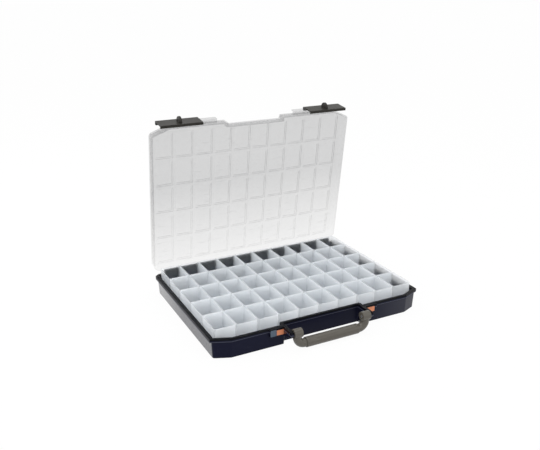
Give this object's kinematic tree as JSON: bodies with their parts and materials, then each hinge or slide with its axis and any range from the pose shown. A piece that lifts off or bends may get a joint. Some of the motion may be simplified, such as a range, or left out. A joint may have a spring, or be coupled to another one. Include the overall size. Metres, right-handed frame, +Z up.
{
  "type": "compartment organizer box",
  "caption": "Flat carrying case with a clear hinged lid, sliding latches and a swinging handle, filled with a grid of lift-out insert bins for small parts.",
  "frame": {"origin": "on the tray's underside, below the middle of the grid of insert bins", "axes": "+X to the right along the hinge line, -Y to the front where the handle is, +Z up"},
  "size_m": [0.413, 0.3526, 0.3492],
  "materials": {
    "tray_plastic": "satin",
    "lid_plastic": "clear",
    "insert_plastic": "translucent",
    "latch_plastic": "matte",
    "marker_plastic": "matte",
    "handle_plastic": "satin",
    "grip_plastic": "matte",
    "pin_steel": "plain"
  },
  "bodies": {
    "base": {"base_shell": "tray_plastic", "hinge_pins": "pin_steel", "marker_left": "marker_plastic", "marker_right": "marker_plastic", "handle_pins": "pin_steel"},
    "lid": {"lid": "lid_plastic"},
    "latch_left": {"latch_left": "latch_plastic"},
    "latch_right": {"latch_right": "latch_plastic"},
    "handle": {"handle_frame": "handle_plastic", "handle_grip": "grip_plastic"},
    "insert_r1c01": {"insert_r1c01": "insert_plastic"},
    "insert_r1c02": {"insert_r1c02": "insert_plastic"},
    "insert_r1c03": {"insert_r1c03": "insert_plastic"},
    "insert_r1c04": {"insert_r1c04": "insert_plastic"},
    "insert_r1c05": {"insert_r1c05": "insert_plastic"},
    "insert_r1c06": {"insert_r1c06": "insert_plastic"},
    "insert_r1c07": {"insert_r1c07": "insert_plastic"},
    "insert_r1c08": {"insert_r1c08": "insert_plastic"},
    "insert_r1c09": {"insert_r1c09": "insert_plastic"},
    "insert_r1c10": {"insert_r1c10": "insert_plastic"},
    "insert_r2c01": {"insert_r2c01": "insert_plastic"},
    "insert_r2c02": {"insert_r2c02": "insert_plastic"},
    "insert_r2c03": {"insert_r2c03": "insert_plastic"},
    "insert_r2c04": {"insert_r2c04": "insert_plastic"},
    "insert_r2c05": {"insert_r2c05": "insert_plastic"},
    "insert_r2c06": {"insert_r2c06": "insert_plastic"},
    "insert_r2c07": {"insert_r2c07": "insert_plastic"},
    "insert_r2c08": {"insert_r2c08": "insert_plastic"},
    "insert_r2c09": {"insert_r2c09": "insert_plastic"},
    "insert_r2c10": {"insert_r2c10": "insert_plastic"},
    "insert_r3c01": {"insert_r3c01": "insert_plastic"},
    "insert_r3c02": {"insert_r3c02": "insert_plastic"},
    "insert_r3c03": {"insert_r3c03": "insert_plastic"},
    "insert_r3c04": {"insert_r3c04": "insert_plastic"},
    "insert_r3c05": {"insert_r3c05": "insert_plastic"},
    "insert_r3c06": {"insert_r3c06": "insert_plastic"},
    "insert_r3c07": {"insert_r3c07": "insert_plastic"},
    "insert_r3c08": {"insert_r3c08": "insert_plastic"},
    "insert_r3c09": {"insert_r3c09": "insert_plastic"},
    "insert_r3c10": {"insert_r3c10": "insert_plastic"},
    "insert_r4c01": {"insert_r4c01": "insert_plastic"},
    "insert_r4c02": {"insert_r4c02": "insert_plastic"},
    "insert_r4c03": {"insert_r4c03": "insert_plastic"},
    "insert_r4c04": {"insert_r4c04": "insert_plastic"},
    "insert_r4c05": {"insert_r4c05": "insert_plastic"},
    "insert_r4c06": {"insert_r4c06": "insert_plastic"},
    "insert_r4c07": {"insert_r4c07": "insert_plastic"},
    "insert_r4c08": {"insert_r4c08": "insert_plastic"},
    "insert_r4c09": {"insert_r4c09": "insert_plastic"},
    "insert_r4c10": {"insert_r4c10": "insert_plastic"},
    "insert_r5c01": {"insert_r5c01": "insert_plastic"},
    "insert_r5c02": {"insert_r5c02": "insert_plastic"},
    "insert_r5c03": {"insert_r5c03": "insert_plastic"},
    "insert_r5c04": {"insert_r5c04": "insert_plastic"},
    "insert_r5c05": {"insert_r5c05": "insert_plastic"},
    "insert_r5c06": {"insert_r5c06": "insert_plastic"},
    "insert_r5c07": {"insert_r5c07": "insert_plastic"},
    "insert_r5c08": {"insert_r5c08": "insert_plastic"},
    "insert_r5c09": {"insert_r5c09": "insert_plastic"},
    "insert_r5c10": {"insert_r5c10": "insert_plastic"}
  },
  "joints": [
    {"name": "lid_hinge", "type": "hinge", "parent": "base", "child": "lid", "pos_m": [0, 0.1455, 0.0365], "axis": [-1, 0, 0], "range_deg": [-82, 13]},
    {"name": "latch_left_slide", "type": "slide", "parent": "lid", "child": "latch_left", "axis": [1, 0, 0], "range_m": [0, 0.032]},
    {"name": "latch_right_slide", "type": "slide", "parent": "lid", "child": "latch_right", "axis": [-1, 0, 0], "range_m": [0, 0.025]},
    {"name": "handle_swing", "type": "hinge", "parent": "base", "child": "handle", "pos_m": [0, -0.179, 0.0315], "axis": [-1, 0, 0], "range_deg": [-70, 100]},
    {"name": "insert_r1c01_lift", "type": "slide", "parent": "base", "child": "insert_r1c01", "axis": [0, 0, 1], "range_m": [0, 0.055]},
    {"name": "insert_r1c02_lift", "type": "slide", "parent": "base", "child": "insert_r1c02", "axis": [0, 0, 1], "range_m": [0, 0.055]},
    {"name": "insert_r1c03_lift", "type": "slide", "parent": "base", "child": "insert_r1c03", "axis": [0, 0, 1], "range_m": [0, 0.055]},
    {"name": "insert_r1c04_lift", "type": "slide", "parent": "base", "child": "insert_r1c04", "axis": [0, 0, 1], "range_m": [0, 0.055]},
    {"name": "insert_r1c05_lift", "type": "slide", "parent": "base", "child": "insert_r1c05", "axis": [0, 0, 1], "range_m": [0, 0.055]},
    {"name": "insert_r1c06_lift", "type": "slide", "parent": "base", "child": "insert_r1c06", "axis": [0, 0, 1], "range_m": [0, 0.055]},
    {"name": "insert_r1c07_lift", "type": "slide", "parent": "base", "child": "insert_r1c07", "axis": [0, 0, 1], "range_m": [0, 0.055]},
    {"name": "insert_r1c08_lift", "type": "slide", "parent": "base", "child": "insert_r1c08", "axis": [0, 0, 1], "range_m": [0, 0.055]},
    {"name": "insert_r1c09_lift", "type": "slide", "parent": "base", "child": "insert_r1c09", "axis": [0, 0, 1], "range_m": [0, 0.055]},
    {"name": "insert_r1c10_lift", "type": "slide", "parent": "base", "child": "insert_r1c10", "axis": [0, 0, 1], "range_m": [0, 0.055]},
    {"name": "insert_r2c01_lift", "type": "slide", "parent": "base", "child": "insert_r2c01", "axis": [0, 0, 1], "range_m": [0, 0.055]},
    {"name": "insert_r2c02_lift", "type": "slide", "parent": "base", "child": "insert_r2c02", "axis": [0, 0, 1], "range_m": [0, 0.055]},
    {"name": "insert_r2c03_lift", "type": "slide", "parent": "base", "child": "insert_r2c03", "axis": [0, 0, 1], "range_m": [0, 0.055]},
    {"name": "insert_r2c04_lift", "type": "slide", "parent": "base", "child": "insert_r2c04", "axis": [0, 0, 1], "range_m": [0, 0.055]},
    {"name": "insert_r2c05_lift", "type": "slide", "parent": "base", "child": "insert_r2c05", "axis": [0, 0, 1], "range_m": [0, 0.055]},
    {"name": "insert_r2c06_lift", "type": "slide", "parent": "base", "child": "insert_r2c06", "axis": [0, 0, 1], "range_m": [0, 0.055]},
    {"name": "insert_r2c07_lift", "type": "slide", "parent": "base", "child": "insert_r2c07", "axis": [0, 0, 1], "range_m": [0, 0.055]},
    {"name": "insert_r2c08_lift", "type": "slide", "parent": "base", "child": "insert_r2c08", "axis": [0, 0, 1], "range_m": [0, 0.055]},
    {"name": "insert_r2c09_lift", "type": "slide", "parent": "base", "child": "insert_r2c09", "axis": [0, 0, 1], "range_m": [0, 0.055]},
    {"name": "insert_r2c10_lift", "type": "slide", "parent": "base", "child": "insert_r2c10", "axis": [0, 0, 1], "range_m": [0, 0.055]},
    {"name": "insert_r3c01_lift", "type": "slide", "parent": "base", "child": "insert_r3c01", "axis": [0, 0, 1], "range_m": [0, 0.055]},
    {"name": "insert_r3c02_lift", "type": "slide", "parent": "base", "child": "insert_r3c02", "axis": [0, 0, 1], "range_m": [0, 0.055]},
    {"name": "insert_r3c03_lift", "type": "slide", "parent": "base", "child": "insert_r3c03", "axis": [0, 0, 1], "range_m": [0, 0.055]},
    {"name": "insert_r3c04_lift", "type": "slide", "parent": "base", "child": "insert_r3c04", "axis": [0, 0, 1], "range_m": [0, 0.055]},
    {"name": "insert_r3c05_lift", "type": "slide", "parent": "base", "child": "insert_r3c05", "axis": [0, 0, 1], "range_m": [0, 0.055]},
    {"name": "insert_r3c06_lift", "type": "slide", "parent": "base", "child": "insert_r3c06", "axis": [0, 0, 1], "range_m": [0, 0.055]},
    {"name": "insert_r3c07_lift", "type": "slide", "parent": "base", "child": "insert_r3c07", "axis": [0, 0, 1], "range_m": [0, 0.055]},
    {"name": "insert_r3c08_lift", "type": "slide", "parent": "base", "child": "insert_r3c08", "axis": [0, 0, 1], "range_m": [0, 0.055]},
    {"name": "insert_r3c09_lift", "type": "slide", "parent": "base", "child": "insert_r3c09", "axis": [0, 0, 1], "range_m": [0, 0.055]},
    {"name": "insert_r3c10_lift", "type": "slide", "parent": "base", "child": "insert_r3c10", "axis": [0, 0, 1], "range_m": [0, 0.055]},
    {"name": "insert_r4c01_lift", "type": "slide", "parent": "base", "child": "insert_r4c01", "axis": [0, 0, 1], "range_m": [0, 0.055]},
    {"name": "insert_r4c02_lift", "type": "slide", "parent": "base", "child": "insert_r4c02", "axis": [0, 0, 1], "range_m": [0, 0.055]},
    {"name": "insert_r4c03_lift", "type": "slide", "parent": "base", "child": "insert_r4c03", "axis": [0, 0, 1], "range_m": [0, 0.055]},
    {"name": "insert_r4c04_lift", "type": "slide", "parent": "base", "child": "insert_r4c04", "axis": [0, 0, 1], "range_m": [0, 0.055]},
    {"name": "insert_r4c05_lift", "type": "slide", "parent": "base", "child": "insert_r4c05", "axis": [0, 0, 1], "range_m": [0, 0.055]},
    {"name": "insert_r4c06_lift", "type": "slide", "parent": "base", "child": "insert_r4c06", "axis": [0, 0, 1], "range_m": [0, 0.055]},
    {"name": "insert_r4c07_lift", "type": "slide", "parent": "base", "child": "insert_r4c07", "axis": [0, 0, 1], "range_m": [0, 0.055]},
    {"name": "insert_r4c08_lift", "type": "slide", "parent": "base", "child": "insert_r4c08", "axis": [0, 0, 1], "range_m": [0, 0.055]},
    {"name": "insert_r4c09_lift", "type": "slide", "parent": "base", "child": "insert_r4c09", "axis": [0, 0, 1], "range_m": [0, 0.055]},
    {"name": "insert_r4c10_lift", "type": "slide", "parent": "base", "child": "insert_r4c10", "axis": [0, 0, 1], "range_m": [0, 0.055]},
    {"name": "insert_r5c01_lift", "type": "slide", "parent": "base", "child": "insert_r5c01", "axis": [0, 0, 1], "range_m": [0, 0.055]},
    {"name": "insert_r5c02_lift", "type": "slide", "parent": "base", "child": "insert_r5c02", "axis": [0, 0, 1], "range_m": [0, 0.055]},
    {"name": "insert_r5c03_lift", "type": "slide", "parent": "base", "child": "insert_r5c03", "axis": [0, 0, 1], "range_m": [0, 0.055]},
    {"name": "insert_r5c04_lift", "type": "slide", "parent": "base", "child": "insert_r5c04", "axis": [0, 0, 1], "range_m": [0, 0.055]},
    {"name": "insert_r5c05_lift", "type": "slide", "parent": "base", "child": "insert_r5c05", "axis": [0, 0, 1], "range_m": [0, 0.055]},
    {"name": "insert_r5c06_lift", "type": "slide", "parent": "base", "child": "insert_r5c06", "axis": [0, 0, 1], "range_m": [0, 0.055]},
    {"name": "insert_r5c07_lift", "type": "slide", "parent": "base", "child": "insert_r5c07", "axis": [0, 0, 1], "range_m": [0, 0.055]},
    {"name": "insert_r5c08_lift", "type": "slide", "parent": "base", "child": "insert_r5c08", "axis": [0, 0, 1], "range_m": [0, 0.055]},
    {"name": "insert_r5c09_lift", "type": "slide", "parent": "base", "child": "insert_r5c09", "axis": [0, 0, 1], "range_m": [0, 0.055]},
    {"name": "insert_r5c10_lift", "type": "slide", "parent": "base", "child": "insert_r5c10", "axis": [0, 0, 1], "range_m": [0, 0.055]}
  ]
}
